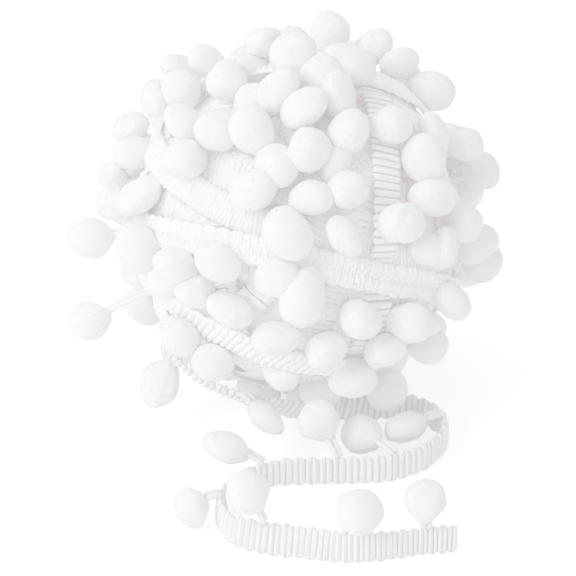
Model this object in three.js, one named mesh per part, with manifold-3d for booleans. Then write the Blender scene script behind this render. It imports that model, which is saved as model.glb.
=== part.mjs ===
// Pom pom trim: a narrow ribbed band with soft pompoms on thread loops along one edge,
// wound into a ball, its loose end standing on its edge on the surface in an S.
// Millimetres, +Z up, the viewer on the -Y side; the origin is the middle of the ball's flat spot.
import * as THREE from "three";
import { mergeVertices } from "three/addons/utils/BufferGeometryUtils.js";
import Module from "manifold-3d";

const wasm = await Module();
wasm.setup();

// The wound ball.
const BALL_MIDDLE = 48;
const CORE_RADIUS = 39;
const WRAP_INNER = 35;
const POMPOM_LEVEL = 43.2;
const POMPOM_RADIUS = 5.4;
const POMPOM_SPACING = 9.6;
const BACK_POMPOMS = 170;
const VIEW_RISE = 30;

// The band and its pompoms' threads.
const BAND_WIDTH = 8;
const BAND_THICKNESS = 2;
const RIB_PITCH = 2.8;
const RIB_DEPTH = 0.32;
const SCALLOP_DEPTH = 0.35;
const THREAD_WIDTH = 1.1;
const THREAD_SPACING = 1.35;
const SEAT_GAP = 0.3;
const ROOT_RADIUS = 1;
const ROOT_LEVEL = 37;

const RISE = THREE.MathUtils.degToRad(VIEW_RISE);
const MIDDLE = new THREE.Vector3(0, 0, BALL_MIDDLE);
const TO_VIEWER = new THREE.Vector3(0, -Math.cos(RISE), Math.sin(RISE));
const VIEW_UP = new THREE.Vector3(0, Math.sin(RISE), Math.cos(RISE));

// Wraps of band on the ball: three places each passes through, right and up of the ball's middle as
// the viewer sees it (behind is 1 on the far side), and the level of its outer face.
const WRAPS = [
  { outer: 41.6, start: [-31.8, -3], middle: [2.5, -10], end: [32.9, -16.8], behind: 0 },
  { outer: 40.8, start: [-34.8, 19], middle: [-25, 4], end: [-9, -4], behind: 0 },
  { outer: 41.2, start: [-37.4, -17.9], middle: [-22.6, -25], end: [0.4, -33.4], behind: 0 },
  { outer: 40, start: [18.6, 18], middle: [19.2, 9], end: [19, -3], behind: 0 },
  { outer: 40.4, start: [25, 30], middle: [30, 20], end: [37, 2], behind: 0 },
  { outer: 40.6, start: [-38, 8], middle: [-39, -7], end: [-33, -22], behind: 0 },
  { outer: 41, start: [-20, 33], middle: [0, 28], end: [22, 33], behind: 1 },
  { outer: 41.4, start: [-30, 18], middle: [0, 8], end: [30, 14], behind: 1 },
];

// Runs of pompoms on the side towards the viewer: first and last place, right and up of the ball's
// middle, how far the run bows away from the straight line, the number, their level and their size.
const RUNS = [
  { from: [-21.7, 37.4], to: [-8.2, 41.7], bow: 0.5, count: 2, level: 45.2, size: 0.93 },
  { from: [7.6, 44.1], to: [17.7, 41.6], bow: 0, count: 2, level: 45.4, size: 0.95 },
  { from: [-11.5, 36], to: [-11.5, 36], bow: 0, count: 1, level: 41, size: 0.85 },
  { from: [-1.7, 37.1], to: [11.9, 36.1], bow: 0, count: 2, level: 44.4, size: 1.03 },
  { from: [24.1, 37.7], to: [31.4, 31.9], bow: 0, count: 2, level: 45, size: 0.94 },
  { from: [-27.7, 30.5], to: [-16.4, 31.7], bow: 0, count: 2, level: 43.8, size: 0.94 },
  { from: [-4.9, 28.7], to: [5.2, 33.2], bow: 0, count: 2, level: 43.2, size: 1 },
  { from: [-26.7, 22.3], to: [-10.5, 19.5], bow: -0.6, count: 3, level: 43.5, size: 0.98 },
  { from: [1.4, 24.8], to: [9, 28.2], bow: 0, count: 2, level: 43.8, size: 0.98 },
  { from: [2.1, 15.3], to: [31, 19.2], bow: 3.4, count: 4, level: 43.5, size: 0.95 },
  { from: [-28, 36.2], to: [-40.1, 22.3], bow: 1, count: 3, level: 46, size: 0.84 },
  { from: [-38.9, 16.1], to: [-36.7, 5.7], bow: 0, count: 2, level: 42.8, size: 0.92 },
  { from: [-44.3, 10.9], to: [-43.4, 3.8], bow: 0, count: 2, level: 45.8, size: 0.75 },
  { from: [-25.3, 13.2], to: [-10.4, 5.6], bow: 0, count: 2, level: 43, size: 1.04 },
  { from: [-4.9, 11.5], to: [2.7, 4.7], bow: 0, count: 2, level: 42.4, size: 0.97 },
  { from: [11, 6], to: [10.1, -4.2], bow: 0, count: 2, level: 43.5, size: 0.95 },
  { from: [-2.6, -3.4], to: [1, -17.6], bow: 0, count: 2, level: 44.5, size: 1.02 },
  { from: [28.6, 13.1], to: [30.8, 4.9], bow: 0, count: 2, level: 44, size: 1.02 },
  { from: [39.1, 18.1], to: [43.5, 12.2], bow: 0, count: 2, level: 45.4, size: 0.84 },
  { from: [23, -1.2], to: [43.9, -9.5], bow: -1.2, count: 3, level: 45, size: 0.96 },
  { from: [37.8, -0.6], to: [41.8, -5.5], bow: 0, count: 2, level: 43.8, size: 0.88 },
  { from: [14.1, -23.1], to: [25.8, -23.6], bow: 0, count: 2, level: 44, size: 1 },
  { from: [35.8, -18.6], to: [30.8, -29.5], bow: 1.5, count: 2, level: 44, size: 0.9 },
  { from: [19.5, -30.3], to: [6.5, -30.2], bow: 0, count: 2, level: 43.6, size: 0.95 },
  { from: [-18.4, -10.4], to: [-27.8, -11.1], bow: 0, count: 2, level: 43.8, size: 0.97 },
  { from: [-36.8, -7.1], to: [-36.8, -7.1], bow: 0, count: 1, level: 44, size: 1.06 },
  { from: [-15.5, -20.8], to: [-5.1, -26.9], bow: 0, count: 2, level: 43.2, size: 0.95 },
  { from: [-27.6, -26.7], to: [-19.3, -33.2], bow: 0, count: 2, level: 44, size: 0.95 },
  { from: [12.3, -36.6], to: [19.7, -37.7], bow: 0, count: 2, level: 42.6, size: 0.9 },
  { from: [29.5, -7.2], to: [29.5, -7.2], bow: 0, count: 1, level: 42.6, size: 0.86 },
  { from: [-4.6, -13.4], to: [-23.3, -16.5], bow: -1.5, count: 2, level: 42.4, size: 0.92 },
  { from: [5, -40.3], to: [5, -40.3], bow: 0, count: 1, level: 41.2, size: 0.88 },
];

// Pompoms that hang well clear of the ball on their loops: place right, up and towards the viewer.
const STRAYS = [
  { right: -49.4, up: -4, near: 3, size: 0.96 },
  { right: -49.4, up: -23.8, near: 4, size: 0.96 },
  { right: -33.4, up: -38.6, near: -2, size: 1 },
];

// Stretches of the outline where bare band shows: direction from the ball's middle and half width.
const BARE = [
  { direction: 2, half: 6 },
  { direction: 40, half: 5 },
  { direction: 112, half: 4 },
  { direction: 194, half: 6 },
  { direction: 218, half: 5 },
];

// The pompoms that carry the ball, flattened at the floor: how far out and in which direction.
const FEET = [
  { out: 0, turn: 0 },
  { out: 11.5, turn: 15 },
  { out: 11.5, turn: 80 },
  { out: 11.5, turn: 145 },
  { out: 11.5, turn: 215 },
  { out: 10.6, turn: 285 },
];
const FOOT_HEIGHT = 4.3;

// The middle line of the loose end, from the ball to the cut end: place, height, and how far the
// upper edge leans towards the viewer's side of a rightward run, in degrees.
const TAIL_LINE = [
  { x: -29.3, y: -17.2, z: 26.2, lean: 53 },
  { x: -22.5, y: -22.6, z: 18.4, lean: 53 },
  { x: -12, y: -24.6, z: 13.6, lean: 46 },
  { x: -2, y: -22.4, z: 9.4, lean: 28 },
  { x: 8, y: -17.4, z: 5.9, lean: 10 },
  { x: 18, y: -13.6, z: 4.1, lean: 0 },
  { x: 26, y: -13.4, z: 4, lean: 0 },
  { x: 33, y: -18, z: 4, lean: 0 },
  { x: 35.2, y: -26, z: 4, lean: 0 },
  { x: 30, y: -35, z: 4, lean: 0 },
  { x: 20.5, y: -40, z: 4, lean: 0 },
  { x: 7.5, y: -41, z: 4, lean: 0 },
  { x: -5, y: -42, z: 4, lean: 0 },
  { x: -13.5, y: -46.8, z: 4, lean: 0 },
  { x: -18, y: -55.5, z: 4, lean: 0 },
  { x: -15.8, y: -63.8, z: 4, lean: -8 },
  { x: -7.5, y: -68, z: 4, lean: -24 },
  { x: 1.5, y: -69.8, z: 4, lean: -28 },
  { x: 10.5, y: -71.6, z: 4, lean: -16 },
  { x: 19.5, y: -71, z: 4, lean: -4 },
  { x: 28, y: -69.2, z: 4, lean: 0 },
  { x: 35.6, y: -68.2, z: 4, lean: 0 },
];

// Pompoms of the loose end, from the ball to the cut end: how far along the band each loop leaves
// it as a share of its length, the pompom's middle, its half sizes along its loop and across it.
const TAIL_POMPOMS = [
  { along: 0.103, x: -8.3, y: -32, z: 13.4, long: 5.9, short: 3.1 },
  { along: 0.285, x: 21.4, y: -20.8, z: 13.4, long: 5.3, short: 5.1 },
  { along: 0.371, x: 26.3, y: -28.2, z: 7.5, long: 6, short: 3.9 },
  { along: 0.482, x: 15.8, y: -32.6, z: 8.4, long: 5.1, short: 4.8 },
  { along: 0.545, x: 4.6, y: -36, z: 14.7, long: 5.3, short: 5 },
  { along: 0.63, x: -16.2, y: -41.4, z: 10.6, long: 5.7, short: 3.9 },
  { along: 0.709, x: -24.4, y: -59.2, z: 6.2, long: 4.2, short: 4.9 },
  { along: 0.79, x: -11.6, y: -65.8, z: 14.4, long: 5.5, short: 5.7 },
  { along: 0.876, x: 13.6, y: -72.4, z: 14, long: 5, short: 5.9 },
  { along: 0.967, x: 28.2, y: -68.8, z: 14.4, long: 5.6, short: 4.8 },
];

// Always the same scatter between 0 and 1 for a counted thing.
function scatter(index, channel) {
  const wave = Math.sin(index * 12.9898 + channel * 78.233) * 43758.5453;
  return wave - Math.floor(wave);
}

// A closed solid of a geometry, its corners merged and its faces turned outward.
function solidOf(geometry) {
  const plain = new THREE.BufferGeometry();
  plain.setAttribute("position", geometry.getAttribute("position").clone());
  if (geometry.index) {
    plain.setIndex(geometry.index.clone());
  }
  const merged = mergeVertices(plain, 1e-4);
  const corner = merged.getAttribute("position");
  const faces = [];
  let volume = 0;
  const a = new THREE.Vector3();
  const b = new THREE.Vector3();
  const c = new THREE.Vector3();
  for (let i = 0; i < merged.index.count; i += 3) {
    const [p, q, r] = [0, 1, 2].map((k) => merged.index.getX(i + k));
    if (p !== q && q !== r && r !== p) {
      faces.push(p, q, r);
      a.fromBufferAttribute(corner, p);
      b.fromBufferAttribute(corner, q);
      c.fromBufferAttribute(corner, r);
      volume += a.dot(b.cross(c));
    }
  }
  if (volume < 0) {
    faces.reverse();
  }
  return new wasm.Manifold(new wasm.Mesh({
    numProp: 3,
    vertProperties: new Float32Array(corner.array),
    triVerts: new Uint32Array(faces),
  }));
}

// The place on the ball that the viewer sees at this spot, at this level from its middle.
function seenPlace(right, up, level, isBehind = false) {
  const spread = Math.hypot(right, up);
  const shrink = spread > level ? level / spread : 1;
  const near = Math.sqrt(Math.max(0, level * level - (spread * shrink) ** 2));
  return placeFrom(right * shrink, up * shrink, isBehind ? -near : near);
}

// A place given right, up and towards the viewer from the ball's middle.
function placeFrom(right, up, near) {
  return MIDDLE.clone()
    .add(new THREE.Vector3(right, 0, 0))
    .addScaledVector(VIEW_UP, up)
    .addScaledVector(TO_VIEWER, near);
}

// One wrap of band: a closed ring on the ball through three places, lying flat on its surface.
function wrapSolid(wrap) {
  const places = [wrap.start, wrap.middle, wrap.end].map(([right, up]) =>
    seenPlace(right, up, wrap.outer, wrap.behind === 1).sub(MIDDLE));
  const axis = places[1].clone().sub(places[0]).cross(places[2].clone().sub(places[0])).normalize();
  const offset = axis.dot(places[0]);
  const ring = Math.sqrt(wrap.outer ** 2 - offset ** 2);
  const [out, along] = [ring / wrap.outer, offset / wrap.outer];
  const half = BAND_WIDTH / 2;
  const section = [[WRAP_INNER, -half], [wrap.outer, -half], [wrap.outer, half], [WRAP_INNER, half]];
  const profile = [...section, section[0]].map(([level, side]) =>
    new THREE.Vector2(level * out - side * along, level * along + side * out));
  const geometry = new THREE.LatheGeometry(profile, 20);
  geometry.applyQuaternion(new THREE.Quaternion().setFromUnitVectors(new THREE.Vector3(0, 1, 0), axis));
  geometry.translate(0, 0, BALL_MIDDLE);
  return solidOf(geometry);
}

// A soft pompom: an ovoid about a place, its long way along a direction. The many on the ball are
// plainer than those of the loose end.
function pompomSolid(place, direction, long, short, isPlain = false) {
  const geometry = isPlain ? new THREE.IcosahedronGeometry(1.07, 0) : new THREE.SphereGeometry(1.02, 8, 5);
  geometry.scale(short, long, short);
  geometry.applyQuaternion(new THREE.Quaternion().setFromUnitVectors(
    new THREE.Vector3(0, 1, 0), direction.clone().normalize()));
  geometry.translate(place.x, place.y, place.z);
  return solidOf(geometry);
}

// The root that holds a ball's pompom to the windings under it.
function rootSolid(place) {
  const out = place.clone().sub(MIDDLE);
  const length = out.length() - ROOT_LEVEL;
  const geometry = new THREE.CylinderGeometry(ROOT_RADIUS, ROOT_RADIUS, length, 3);
  out.normalize();
  geometry.applyQuaternion(new THREE.Quaternion().setFromUnitVectors(new THREE.Vector3(0, 1, 0), out));
  const middle = MIDDLE.clone().addScaledVector(out, ROOT_LEVEL + length / 2);
  geometry.translate(middle.x, middle.y, middle.z);
  return solidOf(geometry);
}

// The two threads of a pompom's loop, side by side from one place to another with a bow upward.
function loopSolids(from, to, bow, width) {
  const run = to.clone().sub(from);
  const side = run.clone().cross(new THREE.Vector3(0, 0, 1));
  if (side.length() < 0.5) {
    side.set(1, 0, 0);
  }
  side.setLength(THREAD_SPACING / 2);
  const half = width / 2;
  const section = new THREE.Shape([
    new THREE.Vector2(-half, 0),
    new THREE.Vector2(0, -half),
    new THREE.Vector2(half, 0),
    new THREE.Vector2(0, half),
  ]);
  return [-1, 1].map((way) => {
    const middle = from.clone().lerp(to, 0.5).addScaledVector(side, way * 1.5);
    middle.z += bow;
    const path = new THREE.CatmullRomCurve3([
      from.clone().addScaledVector(side, way),
      middle,
      to.clone().addScaledVector(side, way * 0.8),
    ]);
    return solidOf(new THREE.ExtrudeGeometry(section, { steps: 4, bevelEnabled: false, extrudePath: path }));
  });
}

// A pompom with the loop that holds it, made larger all round by the clearance it is given.
function hangingPompom({ place, root, long, short, bow }, clearance = 0) {
  const run = place.clone().sub(root);
  const start = root.clone().addScaledVector(run.clone().normalize(), -clearance);
  return wasm.Manifold.union([
    pompomSolid(place, run, long + clearance, short + clearance),
    ...loopSolids(start, place, bow, THREAD_WIDTH + clearance * 3),
  ]);
}

// The pompoms that hang clear of the ball, their loops let into it.
function strayPompoms() {
  return STRAYS.map((stray) => {
    const place = placeFrom(stray.right, stray.up, stray.near);
    const out = place.clone().sub(MIDDLE).normalize();
    const root = MIDDLE.clone().addScaledVector(out, ROOT_LEVEL);
    const radius = POMPOM_RADIUS * stray.size;
    return { place, root, long: radius * 1.08, short: radius * 0.96, bow: 1.2 };
  });
}

// The pompoms of the loose end, each on a loop from the band's upper edge.
function tailPompoms(stations) {
  return TAIL_POMPOMS.map(({ along, x, y, z, long, short }) => {
    const station = stations[Math.round(along * (stations.length - 1))];
    const root = station.place.clone()
      .addScaledVector(station.across, BAND_WIDTH / 2 + SEAT_GAP + THREAD_WIDTH / 2);
    return { place: new THREE.Vector3(x, y, z), root, long, short, bow: 0.8 };
  });
}

// Where the ball's pompoms are: the runs towards the viewer, the feet, and the rest spread evenly.
function ballPompoms(tail) {
  const placed = [];
  for (const run of RUNS) {
    for (let i = 0; i < run.count; i += 1) {
      const share = i / Math.max(1, run.count - 1);
      const [dx, dy] = [run.to[0] - run.from[0], run.to[1] - run.from[1]];
      const bow = (4 * share * (1 - share) * run.bow) / Math.max(1, Math.hypot(dx, dy));
      const right = run.from[0] + dx * share - dy * bow;
      const up = run.from[1] + dy * share + dx * bow;
      placed.push({ place: seenPlace(right, up, run.level), size: run.size });
    }
  }
  for (const foot of FEET) {
    const turn = THREE.MathUtils.degToRad(foot.turn);
    const place = new THREE.Vector3(foot.out * Math.cos(turn), foot.out * Math.sin(turn), FOOT_HEIGHT);
    placed.push({ place, size: 1 });
  }
  const golden = Math.PI * (3 - Math.sqrt(5));
  for (let i = 0; i < BACK_POMPOMS; i += 1) {
    const up = 1 - (2 * i + 1) / BACK_POMPOMS;
    const ring = Math.sqrt(1 - up * up);
    const way = new THREE.Vector3(ring * Math.cos(i * golden), ring * Math.sin(i * golden), up);
    const level = POMPOM_LEVEL + 1.6 * (scatter(i, 1) - 0.4);
    const place = MIDDLE.clone().addScaledVector(way, level);
    const near = way.dot(TO_VIEWER);
    const direction = THREE.MathUtils.radToDeg(Math.atan2(way.dot(VIEW_UP), way.x));
    const isBare = near > -0.45 && BARE.some((bare) =>
      Math.abs(((direction - bare.direction + 540) % 360) - 180) < bare.half);
    const isCrowded = placed.some((other) => other.place.distanceTo(place) < POMPOM_SPACING);
    const isInTail = tail.some((point) => point.distanceTo(place) < 4 + POMPOM_RADIUS + SEAT_GAP * 2);
    const isOnFloor = place.z < POMPOM_RADIUS + 1.4;
    if (near < -0.14 && !isBare && !isCrowded && !isInTail && !isOnFloor) {
      placed.push({ place, size: 0.98 });
    }
  }
  return placed;
}

// The ball as one solid: the core, the wraps of band and the pompoms on it, flat where it rests,
// with the small sealed pockets between its wraps filled and room for the pieces that meet it.
function woundBall(tail, room) {
  const core = new THREE.IcosahedronGeometry(CORE_RADIUS, 2);
  core.translate(0, 0, BALL_MIDDLE);
  const parts = [solidOf(core), ...WRAPS.map(wrapSolid)];
  ballPompoms(tail).forEach(({ place, size }, i) => {
    const radius = POMPOM_RADIUS * size * (0.94 + 0.12 * scatter(i, 2));
    const stretch = 1 + 0.16 * scatter(i, 3);
    const direction = new THREE.Vector3(scatter(i, 4) - 0.5, scatter(i, 5) - 0.5, scatter(i, 6) - 0.5);
    parts.push(pompomSolid(place, direction, radius * stretch, radius, true));
    if (place.distanceTo(MIDDLE) - radius * 0.85 > CORE_RADIUS - 0.6) {
      parts.push(rootSolid(place));
    }
  });
  const ball = wasm.Manifold.union(parts).trimByPlane([0, 0, 1], 0);
  const shells = ball.subtract(room).decompose();
  return shells.reduce((whole, shell) => (shell.volume() > whole.volume() ? shell : whole));
}

// The loose end's stations: place, the way across its width and the way through its thickness.
function tailStations() {
  const line = new THREE.CatmullRomCurve3(TAIL_LINE.map(({ x, y, z }) => new THREE.Vector3(x, y, z)));
  line.arcLengthDivisions = 600;
  const length = line.getLength();
  const steps = Math.round(length / RIB_PITCH) * 2;
  return Array.from({ length: steps + 1 }, (_, i) => {
    const share = i / steps;
    const slot = line.getUtoTmapping(share) * (TAIL_LINE.length - 1);
    const [low, high] = [Math.floor(slot), Math.min(Math.floor(slot) + 1, TAIL_LINE.length - 1)];
    const lean = THREE.MathUtils.degToRad(
      THREE.MathUtils.lerp(TAIL_LINE[low].lean, TAIL_LINE[high].lean, slot - low));
    const place = line.getPointAt(share);
    const along = line.getTangentAt(share);
    const side = new THREE.Vector3(along.y, -along.x, 0).normalize();
    const across = new THREE.Vector3(0, 0, Math.cos(lean)).addScaledVector(side, Math.sin(lean));
    across.addScaledVector(along, -across.dot(along)).normalize();
    return { place, along, across, through: along.clone().cross(across) };
  });
}

// The loose end of the band: ribs across it on both faces, scallops along both edges, made larger
// all round by the clearance it is given.
function tailBand(stations, clearance = 0) {
  const corners = [];
  const final = stations.length - 1;
  stations.forEach(({ place, along, across, through }, i) => {
    const isValley = i % 2 === 1;
    const past = i === 0 ? -clearance : Math.max(0, i - final + 1) * clearance;
    const thick = BAND_THICKNESS / 2 - (isValley ? RIB_DEPTH : 0) + clearance;
    const wide = BAND_WIDTH / 2 - (isValley ? SCALLOP_DEPTH : 0) + clearance;
    const section = [
      [-wide, -thick * 0.6], [0, -thick], [wide, -thick * 0.6],
      [wide, thick * 0.6], [0, thick], [-wide, thick * 0.6],
    ];
    for (const [w, t] of section) {
      corners.push(place.clone()
        .addScaledVector(along, past)
        .addScaledVector(across, w)
        .addScaledVector(through, t));
    }
  });
  const sides = 6;
  const index = [];
  for (let i = 0; i < final; i += 1) {
    for (let k = 0; k < sides; k += 1) {
      const [a, b] = [i * sides + k, i * sides + ((k + 1) % sides)];
      index.push(a, b, b + sides, a, b + sides, a + sides);
    }
  }
  const last = final * sides;
  for (let k = 1; k < sides - 1; k += 1) {
    index.push(0, k + 1, k, last, last + k, last + k + 1);
  }
  const geometry = new THREE.BufferGeometry().setFromPoints(corners);
  geometry.setIndex(index);
  return solidOf(geometry);
}

// A named mesh of a solid.
function named(name, solid, material) {
  const mesh = solid.getMesh();
  const geometry = new THREE.BufferGeometry();
  geometry.setAttribute("position", new THREE.BufferAttribute(new Float32Array(mesh.vertProperties), 3));
  geometry.setIndex(new THREE.BufferAttribute(new Uint32Array(mesh.triVerts), 1));
  const flat = geometry.toNonIndexed();
  flat.computeVertexNormals();
  const result = new THREE.Mesh(flat, material);
  result.name = name;
  return result;
}

function fabric(name, colour) {
  const material = new THREE.MeshStandardMaterial({ color: colour, roughness: 0.95, metalness: 0 });
  material.name = name;
  return material;
}

const trim = new THREE.Group();
trim.name = "pom_pom_trim";
const stations = tailStations();
const strays = strayPompoms();
const loosePompoms = tailPompoms(stations);
const room = wasm.Manifold.union([
  tailBand(stations, SEAT_GAP),
  ...[...strays, ...loosePompoms].map((pompom) => hangingPompom(pompom, SEAT_GAP)),
]);
const ball = woundBall(stations.map(({ place }) => place), room);
trim.add(named("wound_ball", ball, fabric("pompom_yarn", 0xf5f4f5)));
trim.add(named("tail_band", tailBand(stations), fabric("band_yarn", 0xf7f6f2)));
const groups = [["hanging_pompom", strays], ["tail_pompom", loosePompoms]];
for (const [name, pompoms] of groups) {
  pompoms.forEach((pompom, i) => {
    const yarn = fabric(`${name}_yarn_${i + 1}`, 0xf5f4f5);
    trim.add(named(`${name}_${i + 1}`, hangingPompom(pompom), yarn));
  });
}

export default trim;
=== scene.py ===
"""Looks of the pom pom trim: a wound ball of ribbed band and soft pompoms, its loose end in an S."""

import logging
import math
from dataclasses import dataclass, field, replace
from enum import Enum
from functools import cached_property
from typing import Optional, Sequence

import bpy
import numpy as np
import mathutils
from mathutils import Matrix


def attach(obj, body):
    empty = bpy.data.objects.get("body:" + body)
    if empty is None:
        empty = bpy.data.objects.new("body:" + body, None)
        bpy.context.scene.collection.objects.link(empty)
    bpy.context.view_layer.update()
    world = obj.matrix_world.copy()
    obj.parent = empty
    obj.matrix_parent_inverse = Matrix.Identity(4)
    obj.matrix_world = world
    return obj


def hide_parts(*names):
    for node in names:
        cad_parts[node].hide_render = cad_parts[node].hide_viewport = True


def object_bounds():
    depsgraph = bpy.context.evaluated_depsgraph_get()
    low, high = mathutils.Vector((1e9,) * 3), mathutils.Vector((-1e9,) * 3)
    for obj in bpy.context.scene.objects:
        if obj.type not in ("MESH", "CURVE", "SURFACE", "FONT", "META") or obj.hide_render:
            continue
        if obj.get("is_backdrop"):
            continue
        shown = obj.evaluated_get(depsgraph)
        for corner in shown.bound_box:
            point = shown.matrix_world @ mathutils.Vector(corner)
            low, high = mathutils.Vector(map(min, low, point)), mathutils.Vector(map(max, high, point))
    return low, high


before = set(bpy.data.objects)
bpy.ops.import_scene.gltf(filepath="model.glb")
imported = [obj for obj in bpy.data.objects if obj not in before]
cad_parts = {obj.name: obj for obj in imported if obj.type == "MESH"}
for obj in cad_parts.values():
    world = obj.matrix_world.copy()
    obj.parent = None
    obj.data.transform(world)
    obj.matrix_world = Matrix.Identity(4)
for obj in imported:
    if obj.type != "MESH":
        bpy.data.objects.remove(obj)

LOG = logging.getLogger("pom_pom_trim")
MM = 0.001
FLOOR_CLEARANCE = 0.02
GOLDEN_TURN = math.pi * (3.0 - math.sqrt(5.0))
STANDING_SEED = 100
LOOSE_SEED = 300
DEEP_SEED = 600
HANGING_SEED = 900
INNER_WRAP_SEED = 40
LOOSE_BAND_SEED = 77
Vector = np.ndarray


def scatter(index: float, channel: float) -> float:
    """Give a number from 0 to 1 that is always the same for a counted thing.

    Args:
        index: Which of the things it is.
        channel: Which of its properties the number is for.

    Returns:
        A number from 0 up to, but not including, 1.
    """
    wave = math.sin(index * 12.9898 + channel * 78.233) * 43758.5453
    return wave - math.floor(wave)


def unit(vector: Vector) -> Vector:
    """Scale vectors along the last axis to length 1."""
    length = np.linalg.norm(vector, axis=-1, keepdims=True)
    return vector / np.maximum(length, 1e-9)


def smooth_step(value: Vector) -> Vector:
    """Ease from 0 to 1 as the value goes from 0 to 1."""
    value = np.clip(value, 0.0, 1.0)
    return value * value * (3.0 - 2.0 * value)


def sideways(axis: Vector) -> Vector:
    """Give a fixed direction that doesn't run along an axis."""
    return np.array([0.0, 0.0, 1.0]) if abs(axis[2]) < 0.9 else np.array([1.0, 0.0, 0.0])


def crowd(share: Vector, crowding: float) -> Vector:
    """Bring the last of evenly spread shares of a length closer together."""
    return (share + crowding * share**8) / (1.0 + crowding)


class Face(Enum):
    """Which side of the band a wrap shows."""

    RIBBED = "ribbed"
    KNITTED = "knitted"
    LOOPED = "looped"
    FINE = "fine"
    OPEN = "open"


class Role(Enum):
    """What a lamp does for the picture."""

    KEY = "key"
    FILL = "fill"
    TOP = "top"


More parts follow.
